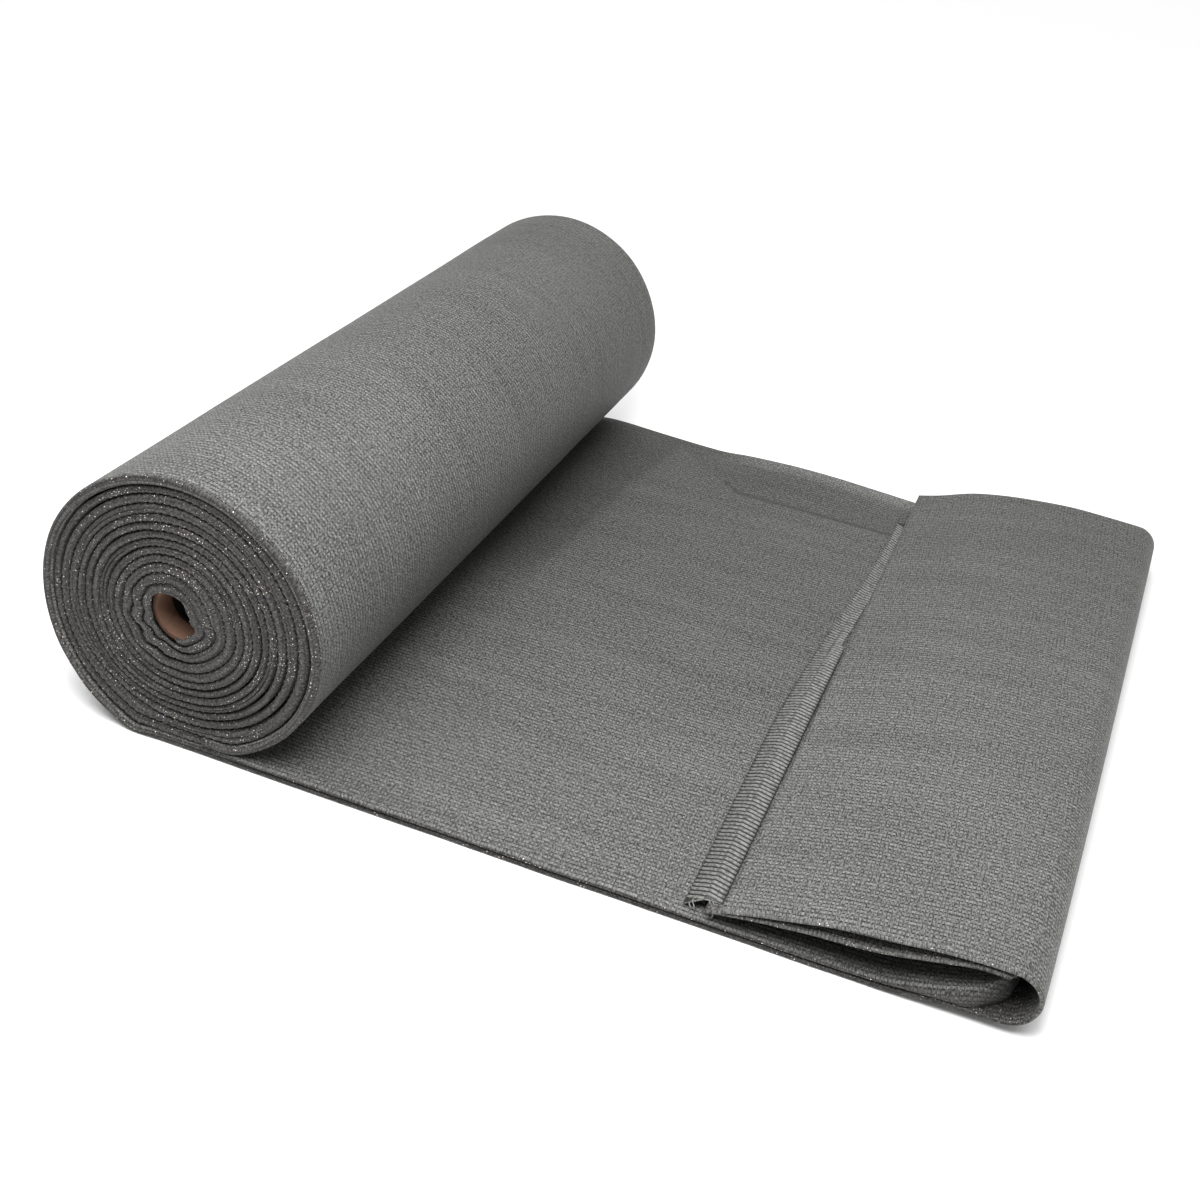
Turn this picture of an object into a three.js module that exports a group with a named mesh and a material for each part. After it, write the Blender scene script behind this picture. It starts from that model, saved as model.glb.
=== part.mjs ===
// Shade cloth: a knitted sun screen, folded in four along its length and wound on a paper tube.
// A loose end lies flat beside the roll, turns back over itself, and ends in a ribbed band.
// Millimetres, +Z up. The cloth unrolls towards +X, and the tube lies along Y.
import * as THREE from 'three';

// Driving dimensions
const CLOTH_WIDTH = 1830;               // the knitted width, folded in four
const PLIES = 4;
const WIDTH = CLOTH_WIDTH / PLIES;      // length of the roll along Y
const PAIR = 2.1;                       // two plies with their puffed fold edge
const PAIR_GAP = 0.4;                   // air between the outer and the inner pair of plies
const LAYER = 2 * PAIR + PAIR_GAP;      // all four plies
const CLEAR = 0.3;                      // air between neighbouring pieces

const AXIS_HEIGHT = 67.6;               // the roll's centre above the floor
const TURN_STEPS = 48;                  // facets in one turn of the roll
const SHEET_END_TURN = 0.97;            // where the outermost turn passes in under the roll
const ROLL_START_TURN = 0.9725;         // where the wound body takes over from it
const FLOOR_TURN = 1 / 16;              // where the outermost turn lifts off the floor

const TUBE_RADIUS = 15.4;               // paper tube, outside
const TUBE_WALL = 2.6;
const TUBE_RECESS = 7;                  // the tube ends this far inside the cloth
const TUBE_CENTRE = { x: -1.5, z: 68.4 };
const MOUTH = { radius: 10.2, stretch: 1.8, wave: 0.6, lean: 2.23 };  // the cloth's puckered mouth
const MOUTH_DEPTH = 4.5;

const EDGE_ROUND = 1.3;                 // how far a fold edge puffs out along Y
const SLIT_SHORT = 11;                  // depth of the groove between the pairs on roll and strip
const SLIT_STOP = 12;                   // what the long groove in the flap leaves at the far fold

// Outer radius of each turn about the roll's axis: at the left, the top and the right,
// and downwards to the flat that the roll's weight presses on it.
const TURNS = [
  { left: 70.5, top: 70.5, right: 70.3, down: 67.6 },
  { left: 64.4, top: 65.4, right: 64.7, down: 62.7 },
  { left: 60.2, top: 61.1, right: 59.0, down: 57.4 },
  { left: 56.3, top: 56.7, right: 53.8, down: 53.6 },
  { left: 51.9, top: 52.0, right: 49.3, down: 49.4 },
  { left: 48.2, top: 48.1, right: 45.2, down: 45.6 },
  { left: 44.4, top: 44.2, right: 41.2, down: 41.8 },
  { left: 40.5, top: 40.2, right: 37.2, down: 38.0 },
  { left: 36.6, top: 36.2, right: 33.2, down: 34.2 },
  { left: 32.7, top: 32.2, right: 29.3, down: 30.4 },
  { left: 28.9, top: 28.3, right: 25.6, down: 26.8 },
  { left: 25.2, top: 24.6, right: 22.1, down: 23.3 },
  { left: 21.6, top: 21.0, right: 19.0, down: 19.9 },
];

// The loose end in section, at the near and the far edge of the cloth. The outer face is the one
// that meets the floor, and after the bend it is the flap's top. The inner face is the other one.
// far and farInner say how much further along X and Z the same place lies at the far edge.
// puff is how much of the inner pair's slack fills the wedge under it.
const STRIP = [
  { outer: [-12, 0], inner: [-13, 4.6], far: [0, 0], farInner: [0, 0], puff: 0, lift: 0 },
  { outer: [26, 0], inner: [26, 4.6], far: [0, 0], farInner: [0, 0], puff: 0, lift: 0 },
  { outer: [50, 0], inner: [50, 4.6], far: [0, 0], farInner: [0, 0], puff: 0, lift: 2.6 },
  { outer: [85, 0], inner: [85, 4.6], far: [0, 0], farInner: [0, 0], puff: 0, lift: 1.4 },
  { outer: [127, 0], inner: [127, 4.6], far: [0, 0], farInner: [0, 0], puff: 0, lift: 0.1 },
  { outer: [150, 0], inner: [150, 4.6], far: [0, 0], farInner: [0, 0], puff: 0, lift: 1.9 },
  { outer: [180, 0], inner: [180, 4.6], far: [0, 0], farInner: [0, 0], puff: 0, lift: 3.1 },
  { outer: [210, 0], inner: [210, 4.6], far: [0, 0], farInner: [0, 0], puff: 0, lift: 3.0 },
  { outer: [240, 0], inner: [240, 4.6], far: [0, 0], farInner: [0, 0], puff: 0, lift: 1.5 },
  { outer: [268, 0], inner: [268, 4.6], far: [2, 0], farInner: [2, 0], puff: 0, lift: 0 },
  { outer: [300, 0], inner: [300, 4.7], far: [6, 0], farInner: [6, -0.1], puff: 0, lift: 0 },
  { outer: [330, 0.6], inner: [329, 5.8], far: [14, -0.6], farInner: [15, -1.2], puff: 0.5, lift: 0 },
  { outer: [348, 2.2], inner: [347, 10.0], far: [18, -2.2], farInner: [19, -5.3], puff: 1, lift: 0 },
  { outer: [366, 3.3], inner: [365, 16.0], far: [20, -3.3], farInner: [20, -10.8], puff: 1, lift: 0 },
];
const FLAP = [
  { outer: [366, 32.4], inner: [366, 27.0], far: [15, -3.6], farInner: [15, -3.4] },
  { outer: [348, 30.7], inner: [348, 22.9], far: [12, -1.4], farInner: [12, 1.2] },
  { outer: [329.5, 28.3], inner: [329.5, 18.9], far: [10.5, -0.3], farInner: [10.5, 3.9] },
  { outer: [311, 25.6], inner: [311, 16.6], far: [8, -0.3], farInner: [8, 3.3] },
  { outer: [293, 21.4], inner: [293, 14.7], far: [6, -0.5], farInner: [6, 1.0] },
  { outer: [275, 17.1], inner: [273, 12.1], far: [4.5, -3.4], farInner: [9, -3.4] },
  { outer: [261.5, 13.6], inner: [255.1, 9.0], far: [4, -4.0], farInner: [18.4, -3.9] },
];
// The bend, as the arcs of its outer face and of its inner face
const BEND = {
  outer: { x: 380.3, z: 18.3, radius: 14.3, farX: 402.8, farZ: 14.1, farRadius: 13.9 },
  inner: { x: 379, z: 24.4, radius: 3.0, farX: 399.5, farZ: 14.6, farRadius: 8.4 },
};
const BEND_STEPS = 8;
const BEND_RECESS = 26;                 // the inner pair's fold edge draws back inside the bend

const BAND = { width: 12.0, seam: 2.3, thick: 2.0, start: 13, end: 416, groove: 0.5, stations: 16 };
const BAND_SKEW = { from: 0.3, to: 0.9 };   // the cloth's end slants between these shares of the width

const ACROSS = [0, 0.3, 0.6, 0.84, 0.93, 1];  // shares of the width where the sheet has points
const LIFT_FROM = 0.84;                       // the far edge waves up from this share on

const COLOURS = { knit: 0x797b77, roll: 0x83857f, band: 0x74756f, paper: 0x8a6446 };

const mix = (a, b, share) => a + (b - a) * share;
const clamp01 = (value) => Math.min(1, Math.max(0, value));
const ease = (from, to, value) => {
  const share = clamp01((value - from) / (to - from));
  return share * share * (3 - 2 * share);
};

// A closed mesh from rings of points: side walls between rings, and a cap on both ends
function closedSweep(rings, capPlan) {
  const count = rings[0].length;
  const positions = rings.flat().flat();
  const index = [];
  for (let ring = 0; ring < rings.length - 1; ring += 1) {
    for (let i = 0; i < count; i += 1) {
      const a = ring * count + i;
      const b = ring * count + (i + 1) % count;
      index.push(a, b, a + count, b, b + count, a + count);
    }
  }
  const last = (rings.length - 1) * count;
  for (const [a, b, c] of THREE.ShapeUtils.triangulateShape(capPlan, [])) {
    index.push(a, c, b, last + a, last + b, last + c);
  }
  return outwards(positions, index);
}

// Indexed geometry whose faces point out, turned round if its volume comes out negative
function outwards(positions, index) {
  const corner = (i) => new THREE.Vector3().fromArray(positions, 3 * index[i]);
  let volume = 0;
  for (let i = 0; i < index.length; i += 3) {
    volume += corner(i).dot(corner(i + 1).cross(corner(i + 2)));
  }
  if (volume < 0) index.reverse();
  const geometry = new THREE.BufferGeometry();
  geometry.setAttribute('position', new THREE.Float32BufferAttribute(positions, 3));
  geometry.setIndex(index);
  geometry.computeVertexNormals();
  return geometry;
}

// Outer radius of the winding, turn being counted from the floor inwards: floor, left, top, right
function windingRadius(turn) {
  const firstStep = TURNS[0].left - TURNS[1].left;
  const knots = [{ at: -0.25, radius: TURNS[0].right + firstStep }];
  TURNS.forEach((row, lap) => {
    knots.push({ at: lap + 0.25, radius: row.left });
    knots.push({ at: lap + 0.5, radius: row.top });
    knots.push({ at: lap + 0.75, radius: row.right });
  });
  const next = knots.findIndex((knot) => knot.at > turn);
  const [a, b] = next < 1 ? knots.slice(-2) : [knots[next - 1], knots[next]];
  const round = mix(a.radius, b.radius, (turn - a.at) / (b.at - a.at));
  const pressed = TURNS[Math.min(Math.round(turn), TURNS.length - 1)].down;
  const downwards = Math.cos(turn * 2 * Math.PI);
  return downwards > 0.5 ? Math.min(round, pressed / downwards) : round;
}

function windingPoint(turn, inset = 0) {
  const angle = -Math.PI / 2 - turn * 2 * Math.PI;
  const radius = windingRadius(turn) - inset;
  return [radius * Math.cos(angle), AXIS_HEIGHT + radius * Math.sin(angle)];
}

// The paper tube
function tubeGeometry() {
  const inside = TUBE_RADIUS - TUBE_WALL;
  const half = WIDTH / 2 - TUBE_RECESS;
  const profile = [[inside, -half], [TUBE_RADIUS, -half], [TUBE_RADIUS, half], [inside, half], [inside, -half]];
  const geometry = new THREE.LatheGeometry(profile.map(([r, y]) => new THREE.Vector2(r, y)), 32);
  geometry.translate(TUBE_CENTRE.x, WIDTH / 2, TUBE_CENTRE.z);
  return geometry;
}

// The wound body: a spiral of ridges and grooves on each end, and a bore with a puckered mouth
function rollGeometry() {
  const positions = [];
  const index = [];
  const innerTurn = TURNS.length - 1;
  const steps = Math.round((innerTurn - ROLL_START_TURN) * TURN_STEPS);
  const turnAt = (step) => ROLL_START_TURN + step / TURN_STEPS;

  const mouthPoint = (turn) => {
    const angle = -Math.PI / 2 - turn * 2 * Math.PI;
    const radius = MOUTH.radius + MOUTH.stretch * Math.cos(2 * (angle - MOUTH.lean))
      + MOUTH.wave * Math.cos(5 * angle);
    return [TUBE_CENTRE.x + radius * Math.cos(angle), TUBE_CENTRE.z + radius * Math.sin(angle)];
  };
  const borePoint = (turn) => {
    const angle = -Math.PI / 2 - turn * 2 * Math.PI;
    const radius = TUBE_RADIUS + CLEAR + 0.1;
    return [TUBE_CENTRE.x + radius * Math.cos(angle), TUBE_CENTRE.z + radius * Math.sin(angle)];
  };
  const add = ([x, z], y) => {
    positions.push(x, y, z);
    return positions.length / 3 - 1;
  };
  const quad = (a, b, c, d, flip) => {
    if (flip) index.push(a, c, b, a, d, c);
    else index.push(a, b, c, a, c, d);
  };

  // One end face: groove line and ridge line run inwards together, then the mouth closes it
  const endFace = (y, inward, flip) => {
    const groove = [];
    const ridge = [];
    for (let step = 0; step <= steps; step += 1) {
      const turn = turnAt(step);
      const depth = mix(3.0, 1.6, clamp01(turn / innerTurn));
      groove.push(add(windingPoint(turn), y + inward * depth));
      if (step + TURN_STEPS <= steps) {
        const outer = windingPoint(turn);
        const inner = windingPoint(turn + 1);
        const swell = 0.6 + 0.35 * Math.sin(turn * 7.3) + 0.25 * Math.sin(turn * 17.9);
        ridge.push(add([mix(outer[0], inner[0], 0.5), mix(outer[1], inner[1], 0.5)], y + inward * swell));
      }
    }
    for (let step = 0; step + 1 < ridge.length; step += 1) {
      quad(groove[step], groove[step + 1], ridge[step + 1], ridge[step], flip);
      quad(ridge[step], ridge[step + 1], groove[step + 1 + TURN_STEPS], groove[step + TURN_STEPS], flip);
    }
    // the innermost turn leans in over the tube to the mouth
    const first = steps - TURN_STEPS;
    const mouth = [];
    for (let i = 0; i < TURN_STEPS; i += 1) mouth.push(add(mouthPoint(turnAt(first + i)), y + inward * 1.8));
    for (let i = 0; i < TURN_STEPS; i += 1) {
      const next = (i + 1) % TURN_STEPS;
      quad(groove[first + i], groove[first + i + 1], mouth[next], mouth[i], flip);
    }
    index.push(...(flip
      ? [groove[first], ridge[first], groove[steps], groove[first], groove[steps], mouth[0]]
      : [groove[first], groove[steps], ridge[first], groove[first], mouth[0], groove[steps]]));
    return { groove, ridge, mouth, first };
  };
  const near = endFace(0, 1, false);
  const far = endFace(WIDTH, -1, true);

  // outer wall, and the step where the outermost turn butts on
  for (let i = 0; i < TURN_STEPS; i += 1) {
    quad(near.groove[i], far.groove[i], far.groove[i + 1], near.groove[i + 1], false);
  }
  quad(near.groove[TURN_STEPS], far.groove[TURN_STEPS], far.ridge[0], near.ridge[0], false);
  quad(near.ridge[0], far.ridge[0], far.groove[0], near.groove[0], false);

  // the bore
  const rings = [near.mouth];
  for (const y of [MOUTH_DEPTH, WIDTH - MOUTH_DEPTH]) {
    const ring = [];
    for (let i = 0; i < TURN_STEPS; i += 1) ring.push(add(borePoint(turnAt(near.first + i)), y));
    rings.push(ring);
  }
  rings.push(far.mouth);
  for (let r = 0; r + 1 < rings.length; r += 1) {
    for (let i = 0; i < TURN_STEPS; i += 1) {
      const next = (i + 1) % TURN_STEPS;
      quad(rings[r][i], rings[r][next], rings[r + 1][next], rings[r + 1][i], false);
    }
  }
  return outwards(positions, index);
}

// Stations along the loose end: outer face and inner face at the near edge and at the far edge
function looseEndStations() {
  const stations = [];
  const turns = Math.round((SHEET_END_TURN - FLOOR_TURN) * TURN_STEPS);
  for (let i = 0; i <= turns; i += 1) {
    const turn = mix(SHEET_END_TURN, FLOOR_TURN, i / turns);
    const outer = windingPoint(turn);
    const inner = windingPoint(turn, LAYER);
    stations.push({ outer, inner, farOuter: outer, farInner: inner, puff: 0, lift: 0, recess: 0, slit: 0 });
  }
  const shifted = ([x, z], [dx, dz]) => [x + dx, z + dz];
  const place = (row, extra) => stations.push({
    outer: row.outer,
    inner: row.inner,
    farOuter: shifted(row.outer, row.far),
    farInner: shifted(row.inner, row.farInner),
    puff: row.puff ?? 0,
    lift: row.lift ?? 0,
    ...extra,
  });
  STRIP.forEach((row, i) => place(row, { recess: 0, slit: i === STRIP.length - 1 ? 0.1 : 0 }));
  const arc = (x, z, radius, angle) => [x + radius * Math.cos(angle), z + radius * Math.sin(angle)];
  for (let i = 0; i <= BEND_STEPS; i += 1) {
    const share = i / BEND_STEPS;
    const angle = -Math.PI / 2 + Math.PI * share;
    const { outer, inner } = BEND;
    stations.push({
      outer: arc(outer.x, outer.z, outer.radius, angle),
      inner: arc(inner.x, inner.z, inner.radius, angle),
      farOuter: arc(outer.farX, outer.farZ, outer.farRadius, angle),
      farInner: arc(inner.farX, inner.farZ, inner.farRadius, angle),
      puff: 1 - ease(0, 0.4, share),
      lift: 0,
      recess: Math.sin(Math.PI * clamp01(0.12 + 0.88 * share)),
      slit: mix(0.1, 1, ease(0, 1, share)),
    });
  }
  FLAP.forEach((row) => place(row, { recess: 0, slit: 1 }));
  return stations;
}

// How far the cloth's slanting end has moved along X, as a share, straight between the points
function endSlant(across) {
  const next = Math.max(1, ACROSS.findIndex((share) => share >= across));
  const [a, b] = [ACROSS[next - 1], ACROSS[next]];
  const [from, to] = [a, b].map((share) => ease(BAND_SKEW.from, BAND_SKEW.to, share));
  return mix(from, to, (across - a) / (b - a));
}

// The loose end: a hairpin section, its outer and inner pairs joined by the fold at the far edge
function looseEndGeometry() {
  const stations = looseEndStations();
  const last = stations.length - 1;
  const facePoint = (i, face, across) => {
    const station = stations[i];
    const near = station[face];
    const far = station[face === 'outer' ? 'farOuter' : 'farInner'];
    const share = i === last && face === 'inner' ? endSlant(across) : Math.pow(across, 0.9);
    const lift = station.lift * ease(LIFT_FROM, 1, across);
    return [mix(near[0], far[0], share), mix(near[1], far[1], share) + lift];
  };
  // the unit direction from the outer face towards the inner side of the cloth
  const normal = (i, face, across) => {
    const a = facePoint(Math.max(i - 1, 0), face, across);
    const b = facePoint(Math.min(i + 1, last), face, across);
    const length = Math.hypot(b[0] - a[0], b[1] - a[1]);
    return [-(b[1] - a[1]) / length, (b[0] - a[0]) / length];
  };
  const offset = (point, direction, distance) => [
    point[0] + direction[0] * distance,
    point[1] + direction[1] * distance,
  ];
  const outerBack = (i, across) => offset(facePoint(i, 'outer', across), normal(i, 'outer', across), PAIR);
  const innerBack = (i, across) => {
    const thin = offset(facePoint(i, 'inner', across), normal(i, 'inner', across), -PAIR);
    const filled = offset(facePoint(i, 'outer', across), normal(i, 'outer', across), PAIR + PAIR_GAP);
    const puff = stations[i].puff * (1 - ease(0.05, 0.3, across));
    return [mix(thin[0], filled[0], puff), mix(thin[1], filled[1], puff)];
  };
  const between = (p, q) => [mix(p[0], q[0], 0.5), mix(p[1], q[1], 0.5)];

  const ring = (i) => {
    const recess = BEND_RECESS * stations[i].recess;
    const yAt = (across, start) => mix(start, WIDTH - EDGE_ROUND, across);
    const point = ([x, z], y) => [x, y, z];
    const outerY = (across) => yAt(across, EDGE_ROUND);
    const innerY = (across) => yAt(across, EDGE_ROUND + recess);
    const slit = mix(SLIT_SHORT, WIDTH - SLIT_STOP, stations[i].slit);
    const deep = (slit - EDGE_ROUND) / (WIDTH - 2 * EDGE_ROUND);
    const half = deep / 2;
    const points = ACROSS.map((across) => point(facePoint(i, 'outer', across), outerY(across)));
    points.push(point(between(facePoint(i, 'outer', 1), facePoint(i, 'inner', 1)), WIDTH));
    points.push(...[...ACROSS].reverse().map((across) => point(facePoint(i, 'inner', across), innerY(across))));
    points.push(point(between(facePoint(i, 'inner', 0), innerBack(i, 0)), recess));
    points.push(point(innerBack(i, 0), innerY(0)));
    points.push(point(innerBack(i, half), innerY(half)));
    points.push(point(innerBack(i, deep), innerY(deep)));
    points.push(point(outerBack(i, deep), outerY(deep)));
    points.push(point(outerBack(i, half), outerY(half)));
    points.push(point(outerBack(i, 0), outerY(0)));
    points.push(point(between(facePoint(i, 'outer', 0), outerBack(i, 0)), 0));
    return points;
  };

  // the same section drawn flat, for the caps: share of the width, and level through the cloth
  const plan = (slit) => [
    ...ACROSS.map((across) => [across, 0]),
    [1.01, 0.5],
    ...[...ACROSS].reverse().map((across) => [across, 1]),
    [-0.01, 0.78], [0, 0.55], [slit / 2, 0.55], [slit, 0.55],
    [slit, 0.45], [slit / 2, 0.45], [0, 0.45], [-0.01, 0.22],
  ].map(([x, y]) => new THREE.Vector2(x, y));

  const rings = stations.map((_, i) => ring(i));
  const count = rings[0].length;
  const index = [];
  for (let i = 0; i < last; i += 1) {
    for (let j = 0; j < count; j += 1) {
      const a = i * count + j;
      const b = i * count + (j + 1) % count;
      index.push(a, b, a + count, b, b + count, a + count);
    }
  }
  for (const [a, b, c] of THREE.ShapeUtils.triangulateShape(plan(SLIT_SHORT / WIDTH), [])) {
    index.push(a, c, b);
  }
  for (const [a, b, c] of THREE.ShapeUtils.triangulateShape(plan(1 - SLIT_STOP / WIDTH), [])) {
    index.push(last * count + a, last * count + b, last * count + c);
  }
  return outwards(rings.flat().flat(), index);
}

// The ribbed band along the cloth's end, as a strip with a groove between its two rows
function bandGeometry() {
  const end = FLAP[FLAP.length - 1];
  const rings = [];
  for (let i = 0; i <= BAND.stations; i += 1) {
    const y = mix(BAND.start, BAND.end, i / BAND.stations);
    const slant = endSlant((y - EDGE_ROUND) / (WIDTH - 2 * EDGE_ROUND));
    const right = end.inner[0] + end.farInner[0] * slant - BAND.seam;
    const left = right - BAND.width;
    const rightZ = mix(end.inner[1], end.inner[1] + end.farInner[1], slant) - 0.1;
    const leftZ = mix(LAYER + 0.8, LAYER + CLEAR + 0.1, slant);
    const at = (share, up) => [mix(left, right, share), y, mix(leftZ, rightZ, share) + up];
    rings.push([
      at(0, 0.4), at(0.08, 0), at(1, 0), at(1, BAND.thick - 0.3), at(0.78, BAND.thick),
      at(0.5, BAND.thick - BAND.groove), at(0.24, BAND.thick), at(0.03, BAND.thick - 0.5),
    ]);
  }
  const plan = [
    [0, 0.4], [0.08, 0], [1, 0], [1, 1.7], [0.78, 2], [0.5, 1.5], [0.24, 2], [0.03, 1.5],
  ].map(([x, y]) => new THREE.Vector2(x, y));
  return closedSweep(rings, plan);
}

function piece(name, geometry, colour, roughness) {
  const mesh = new THREE.Mesh(geometry, new THREE.MeshStandardMaterial({ color: colour, roughness, metalness: 0 }));
  mesh.name = name;
  return mesh;
}

const part = new THREE.Group();
part.add(
  piece('core_tube', tubeGeometry(), COLOURS.paper, 0.85),
  piece('wound_cloth', rollGeometry(), COLOURS.roll, 0.9),
  piece('loose_end', looseEndGeometry(), COLOURS.knit, 0.9),
  piece('end_band', bandGeometry(), COLOURS.band, 0.9),
);

// The origin is the middle of the footprint, on the floor
const leftmost = -TURNS[0].left;
const rightmost = BEND.outer.farX + BEND.outer.farRadius;
part.position.set(-(leftmost + rightmost) / 2, -WIDTH / 2, 0);

export default part;
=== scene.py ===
# %% [markdown]
# A roll of shade cloth. Shade cloth is knitted from matt plastic yarn and flat tape, and it is sold
# folded in four along its length and wound on a cardboard tube. Here the loose end lies beside the
# roll, turns back over itself, and ends in a ribbed band.
# The solids of the object are loaded first. They stay as they are, and every piece below is
# modelled in the same place, finer than its solid.

# %% Load the frame
import math
import random

import bpy
from mathutils import Matrix, Vector, noise


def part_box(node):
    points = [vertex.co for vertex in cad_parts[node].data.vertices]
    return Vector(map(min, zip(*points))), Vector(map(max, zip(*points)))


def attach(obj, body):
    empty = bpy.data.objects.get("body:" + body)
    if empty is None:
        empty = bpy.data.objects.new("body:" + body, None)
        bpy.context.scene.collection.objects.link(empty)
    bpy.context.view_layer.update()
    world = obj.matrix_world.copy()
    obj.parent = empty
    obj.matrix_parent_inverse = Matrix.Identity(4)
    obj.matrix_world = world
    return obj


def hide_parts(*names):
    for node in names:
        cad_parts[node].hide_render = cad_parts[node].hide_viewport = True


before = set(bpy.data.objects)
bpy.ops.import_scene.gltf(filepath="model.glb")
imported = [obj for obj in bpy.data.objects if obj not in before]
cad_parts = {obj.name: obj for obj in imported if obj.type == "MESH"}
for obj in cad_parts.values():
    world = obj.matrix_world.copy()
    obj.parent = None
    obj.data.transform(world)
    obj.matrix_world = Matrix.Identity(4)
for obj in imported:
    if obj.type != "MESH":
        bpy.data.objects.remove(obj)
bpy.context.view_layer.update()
print("solids loaded:", ", ".join(sorted(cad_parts)))

# %% [markdown]
# Sizes. The cloth's section was settled in millimetres from one corner of the roll: X runs the way
# the cloth unrolls and is 0 at the roll's middle, Y is 0 at the near edge, and Z is 0 on the floor.
# The object's own origin is the middle of its footprint, so one shift takes one to the other.

# %% Sizes
MM = 0.001
sheet_low, sheet_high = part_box("loose_end")
WIDTH = (sheet_high[1] - sheet_low[1]) / MM
ROLL_LEFT = 70.5  # from the roll's middle to its left side
SHIFT_X = sheet_low[0] + ROLL_LEFT * MM
SHIFT_Y = sheet_low[1]
PAIR = 2.1  # thickness of two plies
PAIR_GAP = 0.4
LAYER = 2 * PAIR + PAIR_GAP
AXIS_HEIGHT = 67.6
STITCH = 3.8  # the knit repeats at this length


def place(x, y, z):
    """A point of the section, in millimetres, as a point of the object, in metres."""
    return Vector((SHIFT_X + x * MM, SHIFT_Y + y * MM, z * MM))


def mix(a, b, share):
    return a + (b - a) * share


def clamp01(value):
    return min(1.0, max(0.0, value))


def ease(start, stop, value):
    share = clamp01((value - start) / (stop - start))
    return share * share * (3 - 2 * share)


def bump(value, middle, half):
    """1 at the middle, falling smoothly to 0 at half the width away on either side."""
    return 1 - ease(0, half, abs(value - middle))


print(f"cloth {WIDTH:.1f} mm wide as folded, {LAYER:.1f} mm thick in four plies")

# %% [markdown]
# The camera. It stands to the right of the roll's near end, about half a metre up, and looks down
# by 31 degrees. Its heading, its lens and its slight tilt were found from the lines in the
# photograph that run along the roll and the fold. Its three directions go straight in its matrix,
# because that keeps the tilt exact.

# %% Camera
CAMERA_PITCH = math.radians(30.66)
CAMERA_HEADING = math.radians(16.12)
CAMERA_TILT = math.radians(-8.22)
CAMERA_PLACE = (332.6, -492.3, 446.1)
CAMERA_LENS = 46.38

ahead = Vector((
    -math.sin(CAMERA_HEADING) * math.cos(CAMERA_PITCH),
    math.cos(CAMERA_HEADING) * math.cos(CAMERA_PITCH),
    -math.sin(CAMERA_PITCH),
))
level = Vector((math.cos(CAMERA_HEADING), math.sin(CAMERA_HEADING), 0.0))
below = ahead.cross(level)
cosine, sine = math.cos(CAMERA_TILT), math.sin(CAMERA_TILT)
right, down = cosine * level + sine * below, cosine * below - sine * level
bpy.ops.object.camera_add()
camera = bpy.context.object
camera.name = "camera"
turned = Matrix((right, -down, -ahead)).transposed().to_4x4()
camera.matrix_world = Matrix.Translation(place(*CAMERA_PLACE)) @ turned
camera.data.sensor_width = 36
camera.data.lens = CAMERA_LENS
camera.data.clip_start = 0.01
bpy.context.scene.camera = camera
print("camera at", tuple(round(v, 3) for v in camera.location))

# %% [markdown]
# The floor and the light. Everything stands on a plain pale floor. A very soft light comes from above,
# so the roll's top and the laid cloth are bright while the end of the roll faces away from it. It is
# a distant light, because that lights the floor evenly. A soft box hangs over the roll's near end and
# brightens the near parts.

# %% Floor and lights
FLOOR_SIZE = 14.0
FLOOR_DROP = 0.0002  # below the cloth, so the two don't flicker
FLOOR_COLOUR = (0.97, 0.97, 0.97)
FLOOR_ROUGHNESS = 0.8
WORLD_STRENGTH = 0.42
OVERHEAD_FROM = (-0.05, 0.08, 1.0)
OVERHEAD_WIDTH = 65  # how wide the light looks, in degrees
OVERHEAD_STRENGTH = 1.95
BOX_PLACE = (-0.02, -0.46, 0.68)
BOX_AIM = (-0.05, -0.1, 0.05)
BOX_SIZE = 0.40
BOX_POWER = 6.6


def studio_light(kind, name, place_at, aim, strength):
    bpy.ops.object.light_add(type=kind, location=place_at)
    light = bpy.context.object
    light.name = name
    light.data.energy = strength
    light.rotation_mode = "QUATERNION"
    light.rotation_quaternion = (Vector(place_at) - Vector(aim)).to_track_quat("Z", "Y")
    return light.data


bpy.ops.object.select_all(action="DESELECT")
bpy.ops.mesh.primitive_plane_add(size=FLOOR_SIZE, location=(0, 0, -FLOOR_DROP))
floor = bpy.context.object
floor.name = "floor"
pale = bpy.data.materials.new("pale_floor")
pale.use_nodes = True
surface = pale.node_tree.nodes["Principled BSDF"].inputs
surface["Base Color"].default_value = (*FLOOR_COLOUR, 1)
surface["Roughness"].default_value = FLOOR_ROUGHNESS
floor.data.materials.append(pale)
overhead = studio_light("SUN", "overhead", OVERHEAD_FROM, (0, 0, 0), OVERHEAD_STRENGTH)
overhead.angle = math.radians(OVERHEAD_WIDTH)
near_box = studio_light("AREA", "near_box", BOX_PLACE, BOX_AIM, BOX_POWER)
near_box.size = BOX_SIZE
world = bpy.data.worlds.new("studio")
world.use_nodes = True
sky = world.node_tree.nodes["Background"].inputs
sky["Color"].default_value = (1, 1, 1, 1)
sky["Strength"].default_value = WORLD_STRENGTH
bpy.context.scene.world = world
bpy.context.scene.view_settings.view_transform = "Standard"

# %% [markdown]
# The winding. In a real roll the cloth is one long ribbon in a spiral. It could be modelled as a
# stack of rings, but then no turn would run into the next. So its outer radius is a smooth function
# of the turn, read from a short table: one row a turn, with the radius at the left, the top and the
# right, and the distance down to the flat that the roll's own weight presses on it.

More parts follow.
